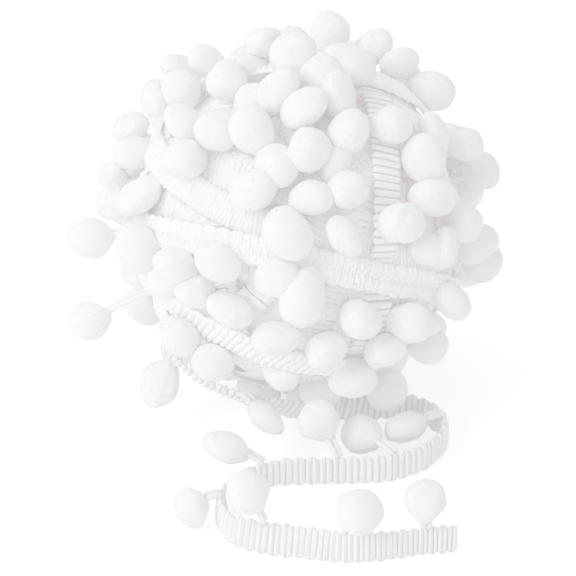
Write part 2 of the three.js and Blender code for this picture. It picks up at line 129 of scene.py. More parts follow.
@dataclass(frozen=True)
class YarnFinish:
    """A matt white yarn: its two shades, its velvet edge, a painted glow in place of the light it lets
    through, painted shade in its grooves and its relief.
    """

    name: str
    colour: tuple[float, float, float]
    hollow_colour: tuple[float, float, float]
    sheen: float
    fibre_scale: float
    fibre_depth: float
    mottle_scale: float
    softness: float = 0.0
    plies_per_strand: float = 0.0
    ply_depth: float = 0.0
    painted_glow_colour: tuple[float, float, float] = (1.0, 1.0, 1.0)
    painted_glow: float = 0.0
    groove_shade: float = 0.0

    def build(self) -> bpy.types.Material:
        """Make the finish's node material.

        Returns:
            The material, its pattern placed by Object coordinates.
        """
        material = bpy.data.materials.new(self.name)
        material.use_nodes = True
        tree = material.node_tree
        shader = tree.nodes["Principled BSDF"]
        shader.inputs["Roughness"].default_value = 0.95
        shader.inputs["Specular IOR Level"].default_value = 0.15
        shader.inputs["Sheen Weight"].default_value = self.sheen
        shader.inputs["Sheen Roughness"].default_value = 0.5
        shader.inputs["Subsurface Weight"].default_value = self.softness
        shader.inputs["Subsurface Radius"].default_value = (1.0, 0.97, 0.95)
        shader.inputs["Subsurface Scale"].default_value = 1.2 * MM
        # Emission: a painted glow that stands in for light passing through the yarn.
        shader.inputs["Emission Color"].default_value = (*self.painted_glow_colour, 1.0)
        shader.inputs["Emission Strength"].default_value = self.painted_glow
        place = tree.nodes.new("ShaderNodeTexCoord")
        mottle = tree.nodes.new("ShaderNodeTexNoise")
        mottle.inputs["Scale"].default_value = self.mottle_scale
        mottle.inputs["Detail"].default_value = 3.0
        ramp = tree.nodes.new("ShaderNodeValToRGB")
        ramp.color_ramp.elements[0].position = 0.3
        ramp.color_ramp.elements[0].color = (*self.hollow_colour, 1.0)
        ramp.color_ramp.elements[1].position = 0.62
        ramp.color_ramp.elements[1].color = (*self.colour, 1.0)
        fibre = tree.nodes.new("ShaderNodeTexNoise")
        fibre.inputs["Scale"].default_value = self.fibre_scale
        fibre.inputs["Detail"].default_value = 4.0
        fibre.inputs["Roughness"].default_value = 0.65
        bump = tree.nodes.new("ShaderNodeBump")
        bump.inputs["Strength"].default_value = 0.7
        bump.inputs["Distance"].default_value = self.fibre_depth
        link = tree.links.new
        link(place.outputs["Object"], mottle.inputs["Vector"])
        link(place.outputs["Object"], fibre.inputs["Vector"])
        link(mottle.outputs["Fac"], ramp.inputs["Fac"])
        colour = self._grooves(tree, place, ramp) if self.groove_shade else ramp.outputs["Color"]
        link(colour, shader.inputs["Base Color"])
        link(fibre.outputs["Fac"], bump.inputs["Height"])
        link(bump.outputs["Normal"], shader.inputs["Normal"])
        if self.plies_per_strand:
            link(self._plies(tree, place).outputs["Normal"], bump.inputs["Normal"])
        return material

    def _grooves(
        self, tree: bpy.types.NodeTree, place: bpy.types.Node, ramp: bpy.types.Node
    ) -> bpy.types.NodeSocket:
        """Shade the grooves between the strands, where little light comes.

        Args:
            tree: The material's nodes.
            place: The node that gives the strand count as the first UV coordinate.
            ramp: The node that gives the yarn's colour.

        Returns:
            The socket with the shaded colour.
        """
        count = tree.nodes.new("ShaderNodeSeparateXYZ")
        turn = tree.nodes.new("ShaderNodeMath")
        turn.operation = "MULTIPLY"
        turn.inputs[1].default_value = math.pi
        wave = tree.nodes.new("ShaderNodeMath")
        wave.operation = "SINE"
        ridge = tree.nodes.new("ShaderNodeMath")
        ridge.operation = "ABSOLUTE"
        light = tree.nodes.new("ShaderNodeValToRGB")
        dark = 1.0 - self.groove_shade
        light.color_ramp.elements[0].color = (dark, dark * 0.985, dark * 0.98, 1.0)
        light.color_ramp.elements[1].color = (1.0, 1.0, 1.0, 1.0)
        light.color_ramp.elements[1].position = 0.6
        blend = tree.nodes.new("ShaderNodeMix")
        blend.data_type = "RGBA"
        blend.blend_type = "MULTIPLY"
        blend.inputs[0].default_value = 1.0
        tree.links.new(place.outputs["UV"], count.inputs["Vector"])
        tree.links.new(count.outputs["X"], turn.inputs[0])
        tree.links.new(turn.outputs["Value"], wave.inputs[0])
        tree.links.new(wave.outputs["Value"], ridge.inputs[0])
        tree.links.new(ridge.outputs["Value"], light.inputs["Fac"])
        tree.links.new(ramp.outputs["Color"], blend.inputs[6])
        tree.links.new(light.outputs["Color"], blend.inputs[7])
        return blend.outputs[2]

    def _plies(self, tree: bpy.types.NodeTree, place: bpy.types.Node) -> bpy.types.Node:
        """Raise the plies that each strand is twisted from, which run across the band.

        Args:
            tree: The material's nodes.
            place: The node that gives the strand count as the first UV coordinate.

        Returns:
            The bump node.
        """
        slant = tree.nodes.new("ShaderNodeMapping")
        slant.inputs["Rotation"].default_value = (0.0, 0.0, math.radians(14.0))
        wave = tree.nodes.new("ShaderNodeTexWave")
        wave.bands_direction = "X"
        wave.inputs["Scale"].default_value = self.plies_per_strand * math.pi / 10.0
        wave.inputs["Distortion"].default_value = 1.6
        wave.inputs["Detail"].default_value = 2.0
        wave.inputs["Detail Scale"].default_value = 1.4
        relief = tree.nodes.new("ShaderNodeBump")
        relief.inputs["Strength"].default_value = 0.8
        relief.inputs["Distance"].default_value = self.ply_depth
        tree.links.new(place.outputs["UV"], slant.inputs["Vector"])
        tree.links.new(slant.outputs["Vector"], wave.inputs["Vector"])
        tree.links.new(wave.outputs["Fac"], relief.inputs["Height"])
        return relief


def outward(rings: Vector) -> Vector:
    """Turn a tube's rings so that its faces point out of it."""
    middle = rings[0].mean(axis=0)
    along = rings[1].mean(axis=0) - middle
    area = sum(np.cross(a - middle, b - middle) for a, b in zip(rings[0], np.roll(rings[0], -1, axis=0)))
    return rings[:, ::-1] if area @ along < 0 else rings


@dataclass
class Cloth:
    """Corners and faces of a piece while it is made, in millimetres."""

    name: str
    corners: list[Vector] = field(default_factory=list)
    faces: list[Vector] = field(default_factory=list)
    marks: list[Vector] = field(default_factory=list)
    count: int = 0

    def add(self, corners: Vector, faces: Vector, marks: Optional[Vector] = None) -> None:
        """Add corners and the faces between them.

        Args:
            corners: Rows of x, y and z.
            faces: Rows of corner numbers, three or four to a face, counted from the first of these corners.
            marks: Rows of two texture coordinates, one for each corner.
        """
        faces = np.asarray(faces) + self.count
        if faces.shape[1] == 3:
            faces = np.column_stack([faces, np.full(len(faces), -1)])
        self.corners.append(np.asarray(corners, dtype=np.float64))
        self.faces.append(faces)
        self.marks.append(np.zeros((len(corners), 2)) if marks is None else marks)
        self.count += len(corners)

    def add_tube(self, rings: Vector, is_ring: bool, strands: float = 1.0, crowding: float = 0.0) -> None:
        """Add a closed skin through rings of corners.

        Args:
            rings: Corners by station and by place round the section.
            is_ring: Whether the last station joins the first, rather than both having end caps.
            strands: How many strands lie along the tube, for its texture coordinates.
            crowding: How much closer the strands lie at its end than elsewhere.
        """
        stations, sides, _ = rings.shape
        last = stations if is_ring else stations - 1
        low = np.arange(last)[:, None] * sides
        high = ((np.arange(last) + 1) % stations)[:, None] * sides
        here = np.arange(sides)[None, :]
        after = (here + 1) % sides
        faces = np.stack([low + here, low + after, high + after, high + here], axis=-1).reshape(-1, 4)
        along = np.repeat(crowd(np.arange(stations) / last, crowding) * strands, sides)
        around = np.tile(np.arange(sides) / sides, stations)
        start = self.count
        self.add(rings.reshape(-1, 3), faces, np.column_stack([along, around]))
        if not is_ring:
            middles = np.stack([rings[0].mean(axis=0), rings[-1].mean(axis=0)])
            turn = np.arange(sides)
            base = (stations - 1) * sides
            final = self.count - start
            front = np.column_stack([np.full(sides, final), (turn + 1) % sides, turn])
            back = np.column_stack([np.full(sides, final + 1), base + turn, base + (turn + 1) % sides])
            caps = np.concatenate([front, back]) + start - self.count
            self.add(middles, caps)

    def finish(self, material: bpy.types.Material) -> bpy.types.Object:
        """Make the piece's object in the row frame.

        Args:
            material: What it is made of.

        Returns:
            The object, its place in its mesh.
        """
        corners = np.concatenate(self.corners) * MM
        faces = np.concatenate(self.faces)
        mesh = bpy.data.meshes.new(self.name)
        rows = [row[row >= 0].tolist() for row in faces]
        mesh.from_pydata(corners.tolist(), [], rows)
        mesh.polygons.foreach_set("use_smooth", np.ones(len(rows), dtype=bool))
        used = np.empty(len(mesh.loops), dtype=np.int32)
        mesh.loops.foreach_get("vertex_index", used)
        layer = mesh.uv_layers.new(name="strands")
        layer.data.foreach_set("uv", np.concatenate(self.marks)[used].ravel())
        mesh.update()
        mesh.materials.append(material)
        piece = bpy.data.objects.new(self.name, mesh)
        bpy.context.scene.collection.objects.link(piece)
        return piece


@dataclass(frozen=True)
class ViewerPlane:
    """Places on the ball as the viewer of the picture sees them, in millimetres."""

    ball_middle: float = 48.0
    rise: float = 30.0

    @cached_property
    def middle(self) -> Vector:
        """Give the ball's middle."""
        return np.array([0.0, 0.0, self.ball_middle])

    @cached_property
    def towards(self) -> Vector:
        """Give the direction from the ball to the viewer."""
        turn = math.radians(self.rise)
        return np.array([0.0, -math.cos(turn), math.sin(turn)])

    @cached_property
    def upward(self) -> Vector:
        """Give the direction that is up in the picture."""
        turn = math.radians(self.rise)
        return np.array([0.0, math.sin(turn), math.cos(turn)])

    def place(self, right: float, up: float, near: float) -> Vector:
        """Give the place this far right, up and towards the viewer from the ball's middle."""
        return self.middle + np.array([right, 0.0, 0.0]) + self.upward * up + self.towards * near

    def seen(self, right: float, up: float, level: float, is_behind: bool = False) -> Vector:
        """Find the place on the ball that the viewer sees at a spot.

        Args:
            right: How far right of the ball's middle the spot is.
            up: How far up of the ball's middle it is.
            level: How far the place is from the ball's middle.
            is_behind: Whether it is on the far side.

        Returns:
            The place.
        """
        spread = math.hypot(right, up)
        shrink = level / spread if spread > level else 1.0
        near = math.sqrt(max(0.0, level * level - (spread * shrink) ** 2))
        return self.place(right * shrink, up * shrink, -near if is_behind else near)


@dataclass(frozen=True)
class Wrap:
    """A wrap of band round the ball: its outer level, three places it passes through and its upper face."""

    outer: float
    start: tuple[float, float]
    middle: tuple[float, float]
    end: tuple[float, float]
    is_behind: bool = False
    face: Face = Face.RIBBED


@dataclass(frozen=True)
class Run:
    """A run of pompoms on the viewer's side: its ends, bow, number, level and size."""

    start: tuple[float, float]
    end: tuple[float, float]
    bow: float
    count: int
    level: float
    size: float


@dataclass(frozen=True)
class Stray:
    """A pompom that hangs clear of the ball on its loop."""

    right: float
    up: float
    near: float
    size: float


@dataclass(frozen=True)
class TailPoint:
    """A place on the loose end's middle line and how far its upper edge leans, in degrees."""

    x: float
    y: float
    z: float
    lean: float = 0.0


@dataclass(frozen=True)
class TailPompom:
    """A pompom of the loose end: where its loop leaves the band, its middle and half sizes."""

    along: float
    x: float
    y: float
    z: float
    long: float
    short: float


WRAPS = (
    Wrap(41.6, (-31.8, -3), (2.5, -10), (32.9, -16.8), face=Face.KNITTED),
    Wrap(40.8, (-34.6, 17.8), (-26.8, 8.1), (-11.6, -0.8), face=Face.FINE),
    Wrap(41.3, (-30.7, -20), (-17.5, -28.2), (0.5, -33.8), face=Face.LOOPED),
    Wrap(41.1, (19.8, 18), (20.4, 9), (20.4, -3), face=Face.OPEN),
    Wrap(40.4, (25, 30), (30, 20), (37, 2)),
    Wrap(40.6, (-38, 8), (-38.3, -7.6), (-33, -22)),
    Wrap(41.0, (-20, 33), (0, 28), (22, 33), True),
    Wrap(41.4, (-30, 18), (0, 8), (30, 14), True),
)

RUNS = (
    Run((-21.7, 37.4), (-8.2, 41.7), 0.5, 2, 45.2, 0.93),
    Run((7.6, 44.1), (17.7, 41.6), 0, 2, 45.4, 0.95),
    Run((-11.5, 36), (-11.5, 36), 0, 1, 41, 0.85),
    Run((-1.7, 37.1), (11.9, 36.1), 0, 2, 44.4, 1.03),
    Run((24.1, 37.7), (31.4, 31.9), 0, 2, 45, 0.94),
    Run((-27.7, 30.5), (-16.4, 31.7), 0, 2, 43.8, 0.94),
    Run((-4.9, 28.7), (5.2, 33.2), 0, 2, 43.2, 1),
    Run((-26.7, 22.3), (-10.5, 19.5), -0.6, 3, 43.5, 0.98),
    Run((1.4, 24.8), (9, 28.2), 0, 2, 43.8, 0.98),
    Run((2.1, 15.3), (31, 19.2), 3.4, 4, 43.5, 0.95),
    Run((-28, 36.2), (-40.1, 22.3), 1, 3, 46, 0.84),
    Run((-38.9, 16.1), (-36.7, 5.7), 0, 2, 42.8, 0.92),
    Run((-44.3, 10.9), (-43.4, 3.8), 0, 2, 45.8, 0.75),
    Run((-25.3, 13.2), (-10.4, 5.6), 0, 2, 43, 1.04),
    Run((-4.9, 11.5), (2.7, 4.7), 0, 2, 42.4, 0.97),
    Run((11, 6), (10.1, -4.2), 0, 2, 43.5, 0.95),
    Run((-2.6, -3.4), (1, -17.6), 0, 2, 44.5, 1.02),
    Run((28.6, 13.1), (30.8, 4.9), 0, 2, 44, 1.02),
    Run((39.1, 18.1), (43.5, 12.2), 0, 2, 45.4, 0.84),
    Run((23, -1.2), (43.9, -9.5), -1.2, 3, 45, 0.96),
    Run((37.8, -0.6), (41.8, -5.5), 0, 2, 43.8, 0.88),
    Run((14.1, -23.1), (25.8, -23.6), 0, 2, 44, 1),
    Run((35.8, -18.6), (30.8, -29.5), 1.5, 2, 44, 0.9),
    Run((19.5, -30.3), (6.5, -30.2), 0, 2, 43.6, 0.95),
    Run((-18.4, -10.4), (-27.8, -11.1), 0, 2, 43.8, 0.97),
    Run((-36.8, -7.1), (-36.8, -7.1), 0, 1, 44, 1.06),
    Run((-15.5, -20.8), (-5.1, -26.9), 0, 2, 43.2, 0.95),
    Run((-27.6, -26.7), (-19.3, -33.2), 0, 2, 44, 0.95),
    Run((12.3, -36.6), (12.3, -36.6), 0, 1, 42.6, 0.92),
    Run((29.5, -7.2), (29.5, -7.2), 0, 1, 42.6, 0.86),
    Run((-4.6, -13.4), (-23.3, -16.5), -1.5, 2, 42.4, 0.92),
    Run((5, -40.3), (5, -40.3), 0, 1, 41.2, 0.88),
)

STRAYS = (Stray(-49.4, -4, 3, 0.96), Stray(-49.4, -23.8, 4, 0.96), Stray(-33.4, -38.6, -2, 1.0))

# Stretches of the outline with bare band: direction from the ball's middle and half width, in degrees.
BARE_STRETCHES = ((2, 6), (40, 5), (112, 4), (194, 6), (218, 5), (242, 5))

# The pompoms under the ball: how far out, and in which direction.
FEET = ((0, 0), (11.5, 15), (11.5, 80), (11.5, 145), (11.5, 215), (10.6, 285))

TAIL_LINE = (
    TailPoint(-32.2, -18.2, 23.8, 34),
    TailPoint(-23.4, -22.8, 17.7, 44),
    TailPoint(-12, -24.6, 13.6, 42),
    TailPoint(-2, -22.4, 9.4, 28),
    TailPoint(8, -17.4, 5.9, 10),
    TailPoint(18, -13.6, 4.1),
    TailPoint(26, -13.4, 4),
    TailPoint(33, -18, 4),
    TailPoint(35.2, -26, 4),
    TailPoint(30, -35, 4),
    TailPoint(20.5, -40, 4),
    TailPoint(7.5, -41, 4),
    TailPoint(-5, -42, 4),
    TailPoint(-13.5, -46.8, 4),
    TailPoint(-18, -55.5, 4),
    TailPoint(-15.8, -63.8, 4, -8),
    TailPoint(-7.5, -68, 4, -24),
    TailPoint(1.5, -69.8, 4, -28),
    TailPoint(10.5, -71.6, 4, -16),
    TailPoint(19.5, -71, 4, -4),
    TailPoint(28, -69.2, 4),
    TailPoint(35.6, -68.2, 4),
)

TAIL_POMPOMS = (
    TailPompom(0.103, -8.3, -32, 13.4, 5.9, 3.1),
    TailPompom(0.285, 21.4, -20.8, 13.4, 5.3, 5.1),
    TailPompom(0.371, 26.3, -28.2, 7.5, 6, 3.9),
    TailPompom(0.482, 15.8, -32.6, 8.4, 5.1, 4.8),
    TailPompom(0.545, 4.6, -36, 14.7, 5.4, 5.3),
    TailPompom(0.63, -16.2, -41.4, 10.6, 5.7, 3.9),
    TailPompom(0.709, -24.4, -59.2, 6.2, 4.2, 4.9),
    TailPompom(0.79, -11.6, -65.8, 14.4, 5.5, 5.7),
    TailPompom(0.876, 13.6, -72.4, 14, 5, 5.9),
    TailPompom(0.967, 28.2, -68.8, 14.4, 5.6, 4.8),
)


@dataclass(frozen=True)
class Stations:
    """Places along a band with the ways along, across and through it, and the length up to each."""

    place: Vector
    along: Vector
    across: Vector
    through: Vector
    length: Vector


class BandPath:
    """The even curve through the loose end's places, walked by length."""

    FINE_STEPS = 60

    def __init__(self, points: Sequence[TailPoint]) -> None:
        """Walk the curve once in fine steps.

        Args:
            points: The places it passes through.
        """
        table = np.array([(p.x, p.y, p.z) for p in points], dtype=float)
        lean = np.array([p.lean for p in points], dtype=float)
        ends = np.concatenate([[2 * table[0] - table[1]], table, [2 * table[-1] - table[-2]]])
        share = np.linspace(0.0, 1.0, self.FINE_STEPS, endpoint=False)[:, None]
        places = []
        for i in range(len(table) - 1):
            p0, p1, p2, p3 = ends[i : i + 4]
            d0, d1, d2 = (math.sqrt(np.linalg.norm(b - a)) for a, b in ((p0, p1), (p1, p2), (p2, p3)))
            t1 = ((p1 - p0) / d0 - (p2 - p0) / (d0 + d1) + (p2 - p1) / d1) * d1
            t2 = ((p2 - p1) / d1 - (p3 - p1) / (d1 + d2) + (p3 - p2) / d2) * d1
            square, cube = share**2, share**3
            places.append(
                p1 + t1 * share + (3 * (p2 - p1) - 2 * t1 - t2) * square + (2 * (p1 - p2) + t1 + t2) * cube
            )
        self._places = np.concatenate([*places, table[-1:]])
        steps = np.linalg.norm(np.diff(self._places, axis=0), axis=1)
        self._walked = np.concatenate([[0.0], np.cumsum(steps)])
        slots = np.arange(len(self._places)) / self.FINE_STEPS
        self._lean = np.interp(slots, np.arange(len(lean)), lean)
        self.length = float(self._walked[-1])

    def stations(self, count: int) -> Stations:
        """Give evenly spaced stations.

        Args:
            count: How many.

        Returns:
            The stations from the ball to the cut end.
        """
        walked = np.linspace(0.0, self.length, count)
        place = np.stack([np.interp(walked, self._walked, self._places[:, k]) for k in range(3)], axis=1)
        lean = np.radians(np.interp(walked, self._walked, self._lean))[:, None]
        along = unit(np.gradient(place, axis=0))
        side = unit(np.column_stack([along[:, 1], -along[:, 0], np.zeros(count)]))
        across = np.array([0.0, 0.0, 1.0]) * np.cos(lean) + side * np.sin(lean)
        across = unit(across - along * np.sum(across * along, axis=1, keepdims=True))
        return Stations(place, along, across, np.cross(along, across), walked)


@dataclass(frozen=True)
class BandWeave:
    """The crocheted band: strands across it in pairs, held by lengthwise rows of stitches."""

    width: float = 8.0
    thickness: float = 2.0
    strand_pitch: float = 1.5
    strand_depth: float = 0.7
    pair_depth: float = 0.14
    row_depth: float = 0.14
    scallop: float = 0.7
    slant: float = 0.14
    lean: float = 0.6
    flatness: float = 0.75
    crowding: float = 0.0
    samples: int = 6
    face_columns: int = 15
    back_columns: int = 3
    stitch_lines: tuple[float, ...] = (-0.5, 0.0, 0.5)
    stitch_width: float = 0.09
    least_height: float = 0.1
    loop_scatter: float = 0.4
    strand_scatter: float = 0.07
    bow_scatter: float = 0.12

    def strands(self, length: float) -> int:
        """Give the even number of strands that fit a length."""
        return 2 * max(2, round(length / self.strand_pitch / 2))

    def section(self, stations: Stations, strands: int, seed: int) -> Vector:
        """Give the band's skin at each station.

        Args:
            stations: Where the band runs.
            strands: How many strands lie along it.
            seed: Which scatter its unevenness has.

        Returns:
            Corners by station and by place round the section.
        """
        face = np.linspace(-1.0, 1.0, self.face_columns)
        back = np.linspace(1.0, -1.0, self.back_columns)
        phase = crowd(stations.length / stations.length[-1], self.crowding) * strands
        rings = [self._side(stations, phase, face, 1.0, seed), self._side(stations, phase, back, -1.0, seed)]
        return np.concatenate(rings, axis=1)

    def _side(self, stations: Stations, phase: Vector, columns: Vector, way: float, seed: int) -> Vector:
        """Give one face of the band, from edge to edge.

        Args:
            stations: Where the band runs.
            phase: How many strands have passed at each station.
            columns: Places across it, from -1 to 1.
            way: 1 for the face, -1 for the back.
            seed: Which scatter its unevenness has.

        Returns:
            Corners by station and column.
        """
        draw = np.random.default_rng(seed)
        strands = int(round(phase[-1]))
        lift = draw.uniform(-1.0, 1.0, strands)
        reach = draw.uniform(-self.loop_scatter, 0.0, strands // 2)
        wander = np.interp(phase, np.arange(strands + 1), np.append(lift, lift[0]))
        zigzag = 2.0 * np.abs((columns * 2.0 + 0.5) % 1.0 - 0.5)
        slanted = phase[:, None] + self.slant * (zigzag[None, :] - 0.5) * way
        bulge = self.bow_scatter * wander[:, None] * (1.0 - columns[None, :] ** 2)
        slanted = slanted + self.lean * columns[None, :] + bulge
        ridge = np.abs(np.sin(np.pi * slanted)) ** self.flatness
        pair_ridge = np.abs(np.sin(np.pi * (slanted + 0.5) / 2.0 - np.pi / 4.0))
        which = np.floor(slanted).astype(int) % strands
        dent = sum(np.exp(-(((columns - line) / self.stitch_width) ** 2)) for line in self.stitch_lines)
        rounding = np.sqrt(np.clip(1.0 - np.abs(columns) ** 4, 0.0, 1.0))
        relief = self.strand_depth * (ridge - 1.0) + self.pair_depth * (pair_ridge - 1.0)
        relief = relief + self.strand_scatter * lift[which] - self.row_depth * dent[None, :]
        height = rounding[None, :] * self.thickness / 2.0 + relief * (0.2 + 0.8 * rounding[None, :])
        height = np.maximum(height, self.least_height)
        half = self.width / 2.0
        tilt = np.sign(columns)[None, :] * self.lean * np.abs(columns)[None, :] ** 3
        pair = np.abs(np.sin(np.pi * (phase[:, None] + tilt) / 2.0)) ** 0.7
        loop = reach[np.floor((phase[:, None] + tilt) / 2.0).astype(int) % len(reach)]
        half_width = half - self.scallop * (1.0 - pair) + loop * pair
        edge = columns[None, :] * half_width
        return (
            stations.place[:, None, :]
            + stations.across[:, None, :] * edge[..., None]
            + stations.through[:, None, :] * (way * height)[..., None]
        )


@dataclass
class Pompom:
    """A soft pompom of clipped yarn: an uneven ovoid with short fibres standing from it."""

    SWELLS = ((1.6, 0.05), (2.6, 0.034), (4.4, 0.018), (8.5, 0.01), (15.0, 0.006))
    SWELL_SHARE = 0.8
    DEEPEST_CREASE = 0.06
    CREASE_WIDTH = 0.14
    FLATTEST_SIDE = 0.12
    FIBRE_LENGTHS = (0.4, 1.05)
    FIBRE_WIDTHS = (0.045, 0.075)
    FIBRE_LEAN = 0.45
    FIBRE_SHIFT = 0.25
    FIBRE_ROOT = 0.12

    place: Vector
    direction: Vector
    long: float
    short: float
    seed: int
    fibres: int = 400
    tip: float = 0.0
    evenness: float = 0.0

    def add_to(self, cloth: Cloth, ball: tuple[Vector, Vector]) -> None:
        """Add the pompom's body and fibres to a piece.

        Args:
            cloth: The piece.
            ball: Corners and faces of a unit ball of even triangles.
        """
        draw = np.random.default_rng(self.seed)
        corners, faces = ball
        shape = self._shape(corners, draw)
        cloth.add(shape, faces)
        self._add_fibres(cloth, corners, shape, draw)

    def _shape(self, ways: Vector, draw: np.random.Generator) -> Vector:
        """Give the skin's corners for directions from the middle.

        Args:
            ways: Unit directions, the second axis along the pompom.
            draw: The source of its unevenness.

        Returns:
            The corners in the row frame.
        """
        swell = np.zeros(len(ways))
        for wave, size in self.SWELLS:
            for _ in range(3):
                lean = unit(draw.normal(size=3)) * wave
                swell += size * np.sin(ways @ lean + draw.uniform(0, 2 * math.pi)) * self.SWELL_SHARE
        crease = unit(draw.normal(size=3))
        depth = draw.uniform(0.0, self.DEEPEST_CREASE)
        bend = ways @ crease + 0.25 * np.sin(ways @ unit(draw.normal(size=3)) * 3.0)
        groove = np.exp(-((bend / self.CREASE_WIDTH) ** 2))
        swell -= depth * groove * (ways @ unit(draw.normal(size=3)) > -0.2)
        flat = unit(draw.normal(size=3))
        swell -= self.FLATTEST_SIDE * smooth_step((ways @ flat - 0.55) / 0.45)
        shape = ways * (1.0 + swell)[:, None]
        egg = draw.uniform(-0.14, 0.14)
        narrow = (1.0 + egg * shape[:, 1]) * (1.0 - self.tip * smooth_step((-shape[:, 1] - 0.1) / 0.9))
        broad = self.short * draw.uniform(0.96, 1.04)
        thin = self.short * (1.0 - (1.0 - self.evenness) * draw.uniform(0.04, 0.26))
        shape = shape * np.stack([broad * narrow, np.full(len(ways), self.long), thin * narrow], axis=1)
        skin = self.place + shape @ self._turn()
        skin[:, 2] = np.maximum(skin[:, 2], FLOOR_CLEARANCE)
        return skin

    def _turn(self) -> Vector:
        """Give the rows that turn the second axis to the pompom's direction."""
        along = unit(np.asarray(self.direction, dtype=float))
        side = unit(np.cross(along, sideways(along)))
        return np.stack([side, along, np.cross(side, along)])

    def _add_fibres(self, cloth: Cloth, ways: Vector, shape: Vector, draw: np.random.Generator) -> None:
        """Add the short fibres that stand from the skin.

        Args:
            cloth: The piece.
            ways: Directions of the skin's corners from the middle.
            shape: The skin's corners.
            draw: The source of their scatter.
        """
        chosen = draw.choice(len(ways), size=min(self.fibres, len(ways)), replace=False)
        base = shape[chosen]
        out = unit(base - self.place)
        lean = unit(out + draw.normal(scale=self.FIBRE_LEAN, size=out.shape))
        shift = np.cross(out, draw.normal(size=out.shape)) * self.FIBRE_SHIFT
        base = base + shift - out * self.FIBRE_ROOT
        side = unit(np.cross(lean, draw.normal(size=out.shape)))
        other = np.cross(lean, side)
        thick = draw.uniform(*self.FIBRE_WIDTHS, (len(base), 1))
        length = draw.uniform(*self.FIBRE_LENGTHS, (len(base), 1))
        rows = [
            base + side * thick,
            base + (-0.5 * side + 0.87 * other) * thick,
            base + (-0.5 * side - 0.87 * other) * thick,
            base + lean * length,
        ]
        corners = np.stack(rows, axis=1)
        corners = corners[corners[..., 2].min(axis=1) > FLOOR_CLEARANCE].reshape(-1, 3)
        start = np.arange(len(corners) // 4)[:, None] * 4
        spike = np.array([[0, 2, 1], [0, 1, 3], [1, 2, 3], [2, 0, 3]])
        cloth.add(corners, (start[:, None, :] + spike[None, :, :]).reshape(-1, 3))


@dataclass(frozen=True)
class ThreadLoop:
    """The two twisted threads that hold a pompom to the band's edge."""

    thread_width: float = 1.35
    spacing: float = 1.35
    sides: int = 7
    steps: int = 14

    def add_to(self, cloth: Cloth, start: Vector, end: Vector, bow: Vector) -> None:
        """Add the two threads to a piece.

        Args:
            cloth: The piece.
            start: Where they leave the band.
            end: Where they enter the pompom.
            bow: How far, and which way, their middles stand off the straight line.
        """
        run = end - start
        side = np.cross(run, (0.0, 0.0, 1.0))
        side = unit(side) if np.linalg.norm(side) > 0.5 else np.array([1.0, 0.0, 0.0])
        share = np.linspace(0.0, 1.0, self.steps)[:, None]
        turn = np.linspace(0.0, 2.0 * math.pi, self.sides, endpoint=False)
        for way in (-1.0, 1.0):
            spread = side * way * self.spacing / 2.0 * (1.0 + 0.25 * np.sin(math.pi * share) - 0.2 * share)
            line = start + run * share + bow * 4.0 * share * (1.0 - share) + spread
            along = unit(np.gradient(line, axis=0))
            up = unit(np.cross(along, side))
            across = np.cross(up, along)
            twist = 1.0 + 0.12 * np.cos(turn[None, :] * 2.0 + share * 16.0)
            radius = self.thread_width / 2.0 * twist[..., None]
            ring = np.cos(turn)[None, :, None] * across[:, None, :]
            ring = ring + np.sin(turn)[None, :, None] * up[:, None, :]
            cloth.add_tube(line[:, None, :] + ring * radius, is_ring=False)


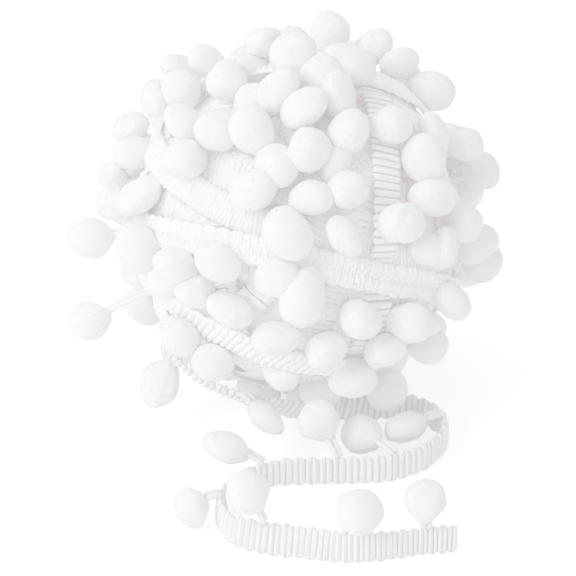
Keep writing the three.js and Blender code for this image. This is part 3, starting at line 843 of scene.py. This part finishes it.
@dataclass
class WoundBall:
    """The ball of trim: wraps of band over deeper windings, with pompoms standing all over it."""

    view: ViewerPlane = field(default_factory=ViewerPlane)
    weaves: dict[Face, BandWeave] = field(
        default_factory=lambda: {
            Face.RIBBED: BandWeave(),
            Face.KNITTED: BandWeave(
                strand_pitch=1.7, slant=0.8, lean=0.0, strand_depth=0.62, row_depth=0.42, scallop=0.7
            ),
            Face.LOOPED: BandWeave(
                strand_pitch=1.8,
                slant=0.1,
                lean=-0.8,
                strand_depth=0.9,
                pair_depth=0.0,
                scallop=0.9,
                flatness=0.65,
                samples=8,
            ),
            Face.FINE: BandWeave(strand_pitch=0.95, lean=0.9, strand_depth=0.5, samples=4),
            Face.OPEN: BandWeave(
                strand_pitch=1.8, slant=0.0, lean=0.0, strand_depth=0.6, flatness=1.0, pair_depth=0.0
            ),
        }
    )
    inner_weave: BandWeave = field(
        default_factory=lambda: BandWeave(samples=4, face_columns=6, back_columns=2)
    )
    loop: ThreadLoop = field(default_factory=ThreadLoop)
    wraps_per_piece: int = 4
    wrap_level: float = 41.0
    sway: float = 0.5
    fine_sway: float = 0.3
    roll: float = 7.0
    unevenness: float = 0.2
    crossing_reach: float = 7.2
    crossing_ease: float = 2.8
    crossing_dip: float = 1.5
    inner_wraps: int = 17
    inner_level: float = 39.4
    inner_level_spread: float = 1.4
    inner_offset_spread: float = 16.0
    core_level: float = 37.2
    pompom_radius: float = 5.4
    pompom_level: float = 43.2
    pompom_spacing: float = 9.6
    pompoms_per_piece: int = 44
    back_count: int = 170
    back_size: float = 0.98
    back_limit: float = -0.14
    outline_limit: float = -0.45
    band_clearance: float = 4.6
    floor_clearance: float = 1.4
    foot_height: float = 4.3
    root_level: float = 37.0
    loop_level: float = 44.4
    pocket_level: float = 39.4
    pocket_floor: float = 8.0
    pocket_count: int = 260
    pocket_long: float = 5.0
    pocket_short: float = 4.5
    pocket_fibres: int = 160
    pocket_spacing: float = 7.2
    pocket_berth: float = 6.2
    aside: float = 0.3
    aside_rise: float = 1.2
    aside_berth: float = 4.6
    tail_berth: float = 12.0

    def circle(self, wrap: Wrap) -> tuple[Vector, float]:
        """Find the plane of a wrap.

        Args:
            wrap: The wrap.

        Returns:
            The plane's normal and its distance from the ball's middle.
        """
        spots = [
            self.view.seen(right, up, wrap.outer, wrap.is_behind) - self.view.middle
            for right, up in (wrap.start, wrap.middle, wrap.end)
        ]
        axis = unit(np.cross(spots[1] - spots[0], spots[2] - spots[0]))
        return axis, float(axis @ spots[0])

    def inner_circles(self) -> list[tuple[Vector, float, float]]:
        """Give the planes and levels of the deeper wraps."""
        circles = []
        for i in range(self.inner_wraps):
            offset = self.inner_offset_spread * (scatter(i, 21) - 0.5)
            level = self.inner_level - self.inner_level_spread * scatter(i, 22)
            circles.append((self._lattice(i, self.inner_wraps), offset, level))
        return circles

    def ring(
        self,
        axis: Vector,
        offset: float,
        level: float,
        weave: BandWeave,
        seed: int,
        over: Sequence[tuple[Vector, float]],
    ) -> Vector:
        """Give the skin of one wrap, dipping under the wraps that lie over it.

        Args:
            axis: Its plane's normal.
            offset: Its plane's distance from the ball's middle.
            level: Its outer face's distance from the ball's middle.
            weave: How the band is made.
            seed: Which scatter its unevenness has.
            over: Planes of the wraps that lie over it.

        Returns:
            Corners by station and by place round the section.
        """
        radius = math.sqrt(level * level - offset * offset)
        strands = weave.strands(2.0 * math.pi * radius)
        count = strands * weave.samples
        turn = np.linspace(0.0, 2.0 * math.pi, count + 1)
        east = unit(np.cross(axis, sideways(axis)))
        north = np.cross(axis, east)
        sway = self.sway * np.sin(2 * turn + seed) + self.fine_sway * np.sin(5 * turn + 2.1 * seed)
        out = np.cos(turn)[:, None] * east + np.sin(turn)[:, None] * north
        place = unit(out * radius + axis * (offset + sway)[:, None])
        dip = np.zeros(count + 1)
        for other_axis, other_offset in over:
            away = np.abs(place @ other_axis * level - other_offset)
            dip = np.maximum(dip, smooth_step((self.crossing_reach - away) / self.crossing_ease))
        rise = level - weave.thickness / 2.0 + self.unevenness * np.sin(3 * turn + seed)
        rise = rise - self.crossing_dip * dip
        along = unit(np.gradient(place, axis=0))
        along[0] = along[-1] = unit(place[1] - place[-2])
        roll = np.radians(self.roll) * np.sin(4 * turn + 1.7 * seed)[:, None]
        across = np.cross(place, along)
        through = place * np.cos(roll) - across * np.sin(roll)
        across = across * np.cos(roll) + place * np.sin(roll)
        middle = self.view.middle + place * rise[:, None]
        return weave.section(Stations(middle, along, across, through, turn * radius), strands, seed)[:-1]

    def wraps(
        self, material: bpy.types.Material, open_material: bpy.types.Material
    ) -> list[bpy.types.Object]:
        """Build the outer wraps, a few to a piece, and apart from them those whose strands part.

        Args:
            material: The band's yarn.
            open_material: The band's yarn where its strands part over the deeper windings, with painted
                shade in the grooves between the strands.

        Returns:
            The pieces.
        """
        planes = [(*self.circle(wrap), wrap.outer) for wrap in WRAPS]
        parted = Cloth("open_wraps")
        pieces = []
        for first in range(0, len(planes), self.wraps_per_piece):
            cloth = Cloth(f"outer_wraps_{first // self.wraps_per_piece + 1}")
            for i, (axis, offset, level) in enumerate(planes[first : first + self.wraps_per_piece], first):
                over = [(a, d) for a, d, other in planes if other > level]
                weave = self.weaves[WRAPS[i].face]
                rings = self.ring(axis, offset, level, weave, i + 1, over)
                skin = parted if WRAPS[i].face is Face.OPEN else cloth
                skin.add_tube(outward(rings), is_ring=True, strands=len(rings) / weave.samples)
            pieces.append(cloth.finish(material))
        return [*pieces, parted.finish(open_material)]

    def inner_windings(self, material: bpy.types.Material) -> bpy.types.Object:
        """Build the deeper wraps that show in the hollows.

        Args:
            material: The band's yarn.

        Returns:
            The piece.
        """
        cloth = Cloth("inner_wraps")
        for i, (axis, offset, level) in enumerate(self.inner_circles()):
            rings = self.ring(axis, offset, level, self.inner_weave, INNER_WRAP_SEED + i, [])
            strands = len(rings) / self.inner_weave.samples
            cloth.add_tube(outward(rings), is_ring=True, strands=strands)
        return cloth.finish(material)

    def core(self, material: bpy.types.Material, ball: tuple[Vector, Vector]) -> bpy.types.Object:
        """Build the closed middle of the ball, seen only through the deepest hollows.

        Args:
            material: The band's yarn.
            ball: Corners and faces of a unit ball.

        Returns:
            The piece.
        """
        cloth = Cloth("ball_core")
        corners, faces = ball
        swell = 1.0 + 0.012 * np.sin(corners @ np.array([9.0, 5.0, 7.0]))
        swell = swell + 0.01 * np.sin(corners @ np.array([-6.0, 11.0, 4.0]))
        cloth.add(self.view.middle + corners * swell[:, None] * self.core_level, faces)
        return cloth.finish(material)

    def pompoms(self, tail: Vector) -> list[Pompom]:
        """Place the ball's pompoms.

        Args:
            tail: Places along the loose end, which the pompoms keep clear of.

        Returns:
            The pompoms.
        """
        spots: list[tuple[Vector, float]] = []
        for run in RUNS:
            for i in range(run.count):
                share = i / max(1, run.count - 1)
                dx, dy = run.end[0] - run.start[0], run.end[1] - run.start[1]
                bow = 4.0 * share * (1.0 - share) * run.bow / max(1.0, math.hypot(dx, dy))
                right = run.start[0] + dx * share - dy * bow
                up = run.start[1] + dy * share + dx * bow
                spots.append((self.view.seen(right, up, run.level), run.size))
        for out, turn in FEET:
            angle = math.radians(turn)
            spots.append((np.array([out * math.cos(angle), out * math.sin(angle), self.foot_height]), 1.0))
        for i in range(self.back_count):
            way = self._lattice(i, self.back_count)
            level = self.pompom_level + 1.6 * (scatter(i, 1) - 0.4)
            place = self.view.middle + way * level
            near = float(way @ self.view.towards)
            direction = math.degrees(math.atan2(way @ self.view.upward, way[0]))
            is_bare = near > self.outline_limit and any(
                abs((direction - middle + 540.0) % 360.0 - 180.0) < half for middle, half in BARE_STRETCHES
            )
            is_crowded = any(np.linalg.norm(other - place) < self.pompom_spacing for other, _ in spots)
            clearance = float(np.min(np.linalg.norm(tail - place, axis=1)))
            is_free = clearance >= self.band_clearance + self.pompom_radius
            is_raised = place[2] >= self.pompom_radius + self.floor_clearance
            if near < self.back_limit and is_free and is_raised and not is_bare and not is_crowded:
                spots.append((place, self.back_size))
        made = []
        for i, (place, size) in enumerate(spots):
            radius = self.pompom_radius * size * (0.94 + 0.12 * scatter(i, 2))
            stretch = 1.0 + 0.16 * scatter(i, 3)
            direction = np.array([scatter(i, 4) - 0.5, scatter(i, 5) - 0.5, scatter(i, 6) - 0.5])
            long, short = radius * stretch * 1.02, radius * 0.95
            made.append(Pompom(place, direction, long, short, seed=STANDING_SEED + i))
        return made

    def pocket_pompoms(self, made: Sequence[Pompom], tail: Vector) -> list[Pompom]:
        """Place the pompoms pressed down between the wraps, deep in the hollows.

        Args:
            made: The pompoms that stand out of the ball.
            tail: Places along the loose end, which the pompoms keep clear of.

        Returns:
            The deeper pompoms.
        """
        planes = [self.circle(wrap) for wrap in WRAPS]
        deep: list[Pompom] = []
        for i in range(self.pocket_count):
            way = self._lattice(i + 0.5, self.pocket_count)
            is_aside = way @ self.view.towards < self.aside
            level = self.pocket_level + (self.aside_rise if is_aside else 0.0)
            place = self.view.middle + way * (level + 1.2 * (scatter(i, 31) - 0.5))
            berth = self.aside_berth if is_aside else self.pocket_berth
            is_under = any(abs(way @ axis * self.wrap_level - offset) < berth for axis, offset in planes)
            nearest = min(np.linalg.norm(place - other.place) for other in [*made, *deep])
            clearance = float(np.min(np.linalg.norm(tail - place, axis=1)))
            is_free = place[2] > self.pocket_floor and clearance > self.tail_berth
            if is_free and not is_under and nearest >= self.pocket_spacing:
                direction = np.array([scatter(i, 32) - 0.5, scatter(i, 33) - 0.5, scatter(i, 34) - 0.5])
                long, short, fibres = self.pocket_long, self.pocket_short, self.pocket_fibres
                deep.append(Pompom(place, direction, long, short, seed=DEEP_SEED + i, fibres=fibres))
        return deep

    @staticmethod
    def _lattice(index: float, count: int) -> Vector:
        """Give one of a number of directions spread evenly over a ball."""
        up = 1.0 - (2 * index + 1) / count
        ring = math.sqrt(max(0.0, 1.0 - up * up))
        turn = index * GOLDEN_TURN
        return np.array([ring * math.cos(turn), ring * math.sin(turn), up])

    def dress(
        self, tail: Vector, ball: tuple[Vector, Vector], finish: bpy.types.Material
    ) -> list[bpy.types.Object]:
        """Build the pompoms on the ball, a few dozen to a piece, and the loops of those that stand off.

        Args:
            tail: Places along the loose end.
            ball: Corners and faces of a unit ball.
            finish: The pompoms' yarn.

        Returns:
            The pieces.
        """
        standing = self.pompoms(tail)
        deep = self.pocket_pompoms(standing, tail)
        LOG.info("%d pompoms stand out of the ball, %d lie deep in it", len(standing), len(deep))
        size = self.pompoms_per_piece
        groups = [standing[i : i + size] for i in range(0, len(standing), size)]
        pieces = []
        for number, group in enumerate([*groups, deep], 1):
            cloth = Cloth(f"ball_pompoms_{number}")
            for pompom in group:
                pompom.add_to(cloth, ball)
                self._add_root(cloth, pompom.place)
            pieces.append(cloth.finish(finish))
        return pieces

    def hanging(self, ball: tuple[Vector, Vector], finish: bpy.types.Material) -> list[bpy.types.Object]:
        """Build the pompoms that hang clear of the ball, each with its loop.

        Args:
            ball: Corners and faces of a unit ball.
            finish: The pompoms' yarn.

        Returns:
            One piece a pompom.
        """
        pieces = []
        for i, stray in enumerate(STRAYS):
            place = self.view.place(stray.right, stray.up, stray.near)
            out = unit(place - self.view.middle)
            radius = self.pompom_radius * stray.size
            cloth = Cloth(f"hanging_pompom_{i + 1}")
            long, short = radius * 1.08, radius * 0.96
            pompom = Pompom(place, out, long, short, seed=HANGING_SEED + i, tip=0.2, evenness=0.6)
            pompom.add_to(cloth, ball)
            root = self.view.middle + out * self.root_level
            self.loop.add_to(cloth, root, place - out * radius * 0.4, np.array([0.0, 0.0, 1.2]))
            pieces.append(cloth.finish(finish))
        return pieces

    def _add_root(self, cloth: Cloth, place: Vector) -> None:
        """Add the loop that ties a pompom down to the windings.

        Args:
            cloth: The piece.
            place: The pompom's middle.
        """
        out = unit(place - self.view.middle)
        if np.linalg.norm(place - self.view.middle) > self.loop_level:
            self.loop.add_to(cloth, self.view.middle + out * self.root_level, place, np.zeros(3))


@dataclass
class LooseEnd:
    """The last stretch of the trim, standing on its edge, with its pompoms."""

    path: BandPath = field(default_factory=lambda: BandPath(TAIL_LINE))
    weave: BandWeave = field(
        default_factory=lambda: BandWeave(
            samples=8,
            face_columns=15,
            back_columns=15,
            strand_pitch=1.5,
            slant=0.0,
            lean=0.0,
            flatness=0.85,
            strand_depth=0.74,
            pair_depth=0.14,
            row_depth=0.06,
            scallop=0.95,
            crowding=0.06,
        )
    )
    loop: ThreadLoop = field(default_factory=ThreadLoop)
    flat_width: float = 10.0
    root_inset: float = 0.3
    root_steps: int = 600
    clearance_steps: int = 150

    @property
    def places(self) -> Vector:
        """Give places along the band, which the ball's pompoms keep clear of."""
        return self.path.stations(self.clearance_steps + 1).place

    def band(self, material: bpy.types.Material) -> bpy.types.Object:
        """Build the band.

        Args:
            material: Its yarn.

        Returns:
            The piece.
        """
        strands = self.weave.strands(self.path.length)
        stations = self.path.stations(strands * self.weave.samples + 1)
        rings = self.weave.section(stations, strands, LOOSE_BAND_SEED)
        cloth = Cloth("loose_band")
        cloth.add_tube(outward(rings), is_ring=False, strands=strands, crowding=self.weave.crowding)
        return cloth.finish(material)

    def pompoms(self, ball: tuple[Vector, Vector], material: bpy.types.Material) -> list[bpy.types.Object]:
        """Build each pompom of the loose end with its loop.

        Args:
            ball: Corners and faces of a unit ball.
            material: The pompoms' yarn.

        Returns:
            One piece a pompom, from the ball to the cut end.
        """
        stations = self.path.stations(self.root_steps + 1)
        pieces = []
        for i, spec in enumerate(TAIL_POMPOMS):
            at = round(spec.along * self.root_steps)
            root = stations.place[at] + stations.across[at] * (self.weave.width / 2.0 - self.root_inset)
            place = np.array([spec.x, spec.y, spec.z])
            cloth = Cloth(f"loose_pompom_{i + 1}")
            seed = LOOSE_SEED + i
            pompom = Pompom(place, place - root, spec.long, spec.short, seed, tip=0.3, evenness=0.9)
            pompom.add_to(cloth, ball)
            end = place - unit(place - root) * spec.long * 0.4
            self.loop.add_to(cloth, root, end, np.array([0.0, 0.0, 0.8]))
            pieces.append(cloth.finish(material))
        return pieces


@dataclass(frozen=True)
class Lamp:
    """A soft area lamp that faces the ball, in metres and watts."""

    role: Role
    place: tuple[float, float, float]
    size: float
    power: float


@dataclass
class Studio:
    """The pale light table, the soft lamps and the camera at the picture's viewing angle."""

    view: ViewerPlane = field(default_factory=ViewerPlane)
    floor_size: float = 6.0
    floor_glow: float = 0.5
    floor_bounce: float = 0.12
    sensor: float = 36.0
    lens: float = 156.25
    camera_place: tuple[float, float, float] = (-0.0024, -0.5275, 0.3343)
    sky: float = 0.85
    exposure: float = -0.6
    gamma: float = 2.1
    lamps: tuple[Lamp, ...] = (
        Lamp(Role.KEY, (-0.95, -0.75, 0.95), 1.0, 12.5),
        Lamp(Role.FILL, (0.6, -1.2, 0.3), 1.1, 0.3),
        Lamp(Role.TOP, (-0.4, 0.5, 1.3), 1.0, 3.5),
    )

    def build(self) -> None:
        """Set up the floor, light and camera."""
        self._floor()
        self._light()
        self._camera()

    def _floor(self) -> None:
        """Lay the pale floor."""
        bpy.ops.mesh.primitive_plane_add(size=self.floor_size, location=(0.0, 0.0, 0.0))
        floor = bpy.context.active_object
        floor.name = "floor"
        finish = bpy.data.materials.new("pale_floor")
        finish.use_nodes = True
        shader = finish.node_tree.nodes["Principled BSDF"]
        shader.inputs["Base Color"].default_value = (0.95, 0.95, 0.95, 1.0)
        shader.inputs["Roughness"].default_value = 0.9
        shader.inputs["Specular IOR Level"].default_value = 0.1
        shader.inputs["Emission Color"].default_value = (1.0, 1.0, 1.0, 1.0)
        ray = finish.node_tree.nodes.new("ShaderNodeLightPath")
        glow = finish.node_tree.nodes.new("ShaderNodeMath")
        glow.operation = "MULTIPLY_ADD"
        glow.inputs[1].default_value = self.floor_glow
        glow.inputs[2].default_value = self.floor_bounce
        finish.node_tree.links.new(ray.outputs["Is Camera Ray"], glow.inputs[0])
        finish.node_tree.links.new(glow.outputs["Value"], shader.inputs["Emission Strength"])
        floor.data.materials.append(finish)
        floor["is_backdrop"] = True

    def _light(self) -> None:
        """Hang the lamps and set the sky."""
        world = bpy.data.worlds.new("studio_sky")
        bpy.context.scene.world = world
        world.use_nodes = True
        backdrop = world.node_tree.nodes["Background"]
        backdrop.inputs["Color"].default_value = (1.0, 1.0, 1.0, 1.0)
        backdrop.inputs["Strength"].default_value = self.sky
        target = self.view.middle * MM
        for lamp in self.lamps:
            data = bpy.data.lights.new(f"{lamp.role.value}_lamp", "AREA")
            data.shape = "DISK"
            data.size = lamp.size
            data.energy = lamp.power
            light = bpy.data.objects.new(data.name, data)
            light.location = lamp.place
            light.rotation_euler = self._facing(np.array(lamp.place), target)
            bpy.context.scene.collection.objects.link(light)
        settings = bpy.context.scene.view_settings
        settings.view_transform = "Standard"
        settings.look = "None"
        settings.exposure = self.exposure
        settings.gamma = self.gamma

    def _camera(self) -> None:
        """Place the camera as the picture was taken."""
        data = bpy.data.cameras.new("camera")
        data.sensor_width = self.sensor
        data.lens = self.lens
        data.clip_start = 0.01
        data.clip_end = 20.0
        camera = bpy.data.objects.new("camera", data)
        camera.location = self.camera_place
        camera.rotation_euler = (math.radians(90.0 - self.view.rise), 0.0, 0.0)
        bpy.context.scene.collection.objects.link(camera)
        bpy.context.scene.camera = camera

    @staticmethod
    def _facing(place: Vector, target: Vector) -> tuple[float, float, float]:
        """Give the turns that make a lamp at a place face a target."""
        way = unit(target - place)
        return (math.acos(-way[2]), 0.0, math.atan2(way[0], -way[1]) + math.pi)


class Yarns:
    """The finishes of the trim: one soft yarn and one twisted yarn in the four lights it lies in."""

    def __init__(self) -> None:
        """Make the node materials."""
        # The ball's wraps: the twisted yarn's lighter copy, with a painted glow that lifts its shaded side
        # and the gaps.
        band = YarnFinish(
            name="twisted_band_yarn",
            colour=(0.985, 0.982, 0.965),
            hollow_colour=(0.955, 0.95, 0.935),
            sheen=0.1,
            fibre_scale=4200.0,
            fibre_depth=0.00012,
            mottle_scale=900.0,
            plies_per_strand=2.0,
            ply_depth=0.00018,
            painted_glow=0.12,
        )
        self.band = band.build()
        # The loose end's copy: painted darker and greyer than the ball's, with painted shade in its grooves
        # and half the painted glow.
        self.loose_band = replace(
            band,
            name="loose_band_yarn",
            colour=(0.95, 0.94, 0.945),
            hollow_colour=(0.915, 0.903, 0.908),
            painted_glow=0.06,
            groove_shade=0.22,
        ).build()
        # The deeper windings and core: a warm pinkish painted glow that lights the hollows.
        self.deep_band = replace(
            band, name="deep_band_yarn", painted_glow_colour=(1.0, 0.84, 0.79), painted_glow=0.1
        ).build()
        # The wrap whose strands part: painted shade in its grooves and a weaker painted glow.
        self.open_band = replace(band, name="open_band_yarn", painted_glow=0.08, groove_shade=0.45).build()
        # The pompoms: a faint pinkish painted glow lifts the crevices between them.
        self.pompom = YarnFinish(
            name="soft_pompom_yarn",
            colour=(0.96, 0.942, 0.951),
            hollow_colour=(0.93, 0.91, 0.92),
            sheen=0.2,
            fibre_scale=2600.0,
            fibre_depth=0.00022,
            mottle_scale=300.0,
            softness=0.4,
            painted_glow_colour=(1.0, 0.95, 0.94),
            painted_glow=0.06,
        ).build()


class Measure:
    """The solids' box, taken before the trim is dressed."""

    def __init__(self) -> None:
        """Take the box of the solids."""
        self._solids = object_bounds()

    def write(self) -> None:
        """Do nothing: neither box is written."""


def unit_ball(detail: int) -> tuple[Vector, Vector]:
    """Take the corners and faces of an even ball of triangles.

    Args:
        detail: How often its faces are divided.

    Returns:
        The corners at distance 1 and the faces.
    """
    bpy.ops.object.select_all(action="DESELECT")
    bpy.ops.mesh.primitive_ico_sphere_add(subdivisions=detail, radius=1.0)
    ball = bpy.context.active_object
    corners = np.array([tuple(v.co) for v in ball.data.vertices])
    faces = np.array([tuple(p.vertices) for p in ball.data.polygons])
    mesh = ball.data
    bpy.data.objects.remove(ball)
    bpy.data.meshes.remove(mesh)
    return unit(corners), faces


def settle(piece: bpy.types.Object, nodes: Sequence[str]) -> None:
    """Tie a piece to the frame.

    Args:
        piece: The piece.
        nodes: The CAD nodes it stands for.
    """
    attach(piece, "root")
    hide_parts(*nodes)
    LOG.info("%s: %d faces", piece.name, len(piece.data.polygons))


def main() -> None:
    """Build the dressed trim and the studio, and report each piece."""
    logging.basicConfig(level=logging.INFO, format="%(name)s: %(message)s", force=True)
    measure = Measure()
    yarns = Yarns()
    fine_ball = unit_ball(4)
    loose = LooseEnd()
    loose_band = loose.band(yarns.loose_band)
    settle(loose_band, ["tail_band"])
    for i, piece in enumerate(loose.pompoms(fine_ball, yarns.pompom), 1):
        settle(piece, [f"tail_pompom_{i}"])
    wound = WoundBall()
    for piece in [*wound.wraps(yarns.band, yarns.open_band), wound.inner_windings(yarns.deep_band)]:
        settle(piece, ["wound_ball"])
    settle(wound.core(yarns.deep_band, fine_ball), ["wound_ball"])
    for piece in wound.dress(loose.places, fine_ball, yarns.pompom):
        settle(piece, ["wound_ball"])
    for i, piece in enumerate(wound.hanging(fine_ball, yarns.pompom), 1):
        settle(piece, [f"hanging_pompom_{i}"])
    Studio().build()
    measure.write()


if __name__ == "__main__":
    main()
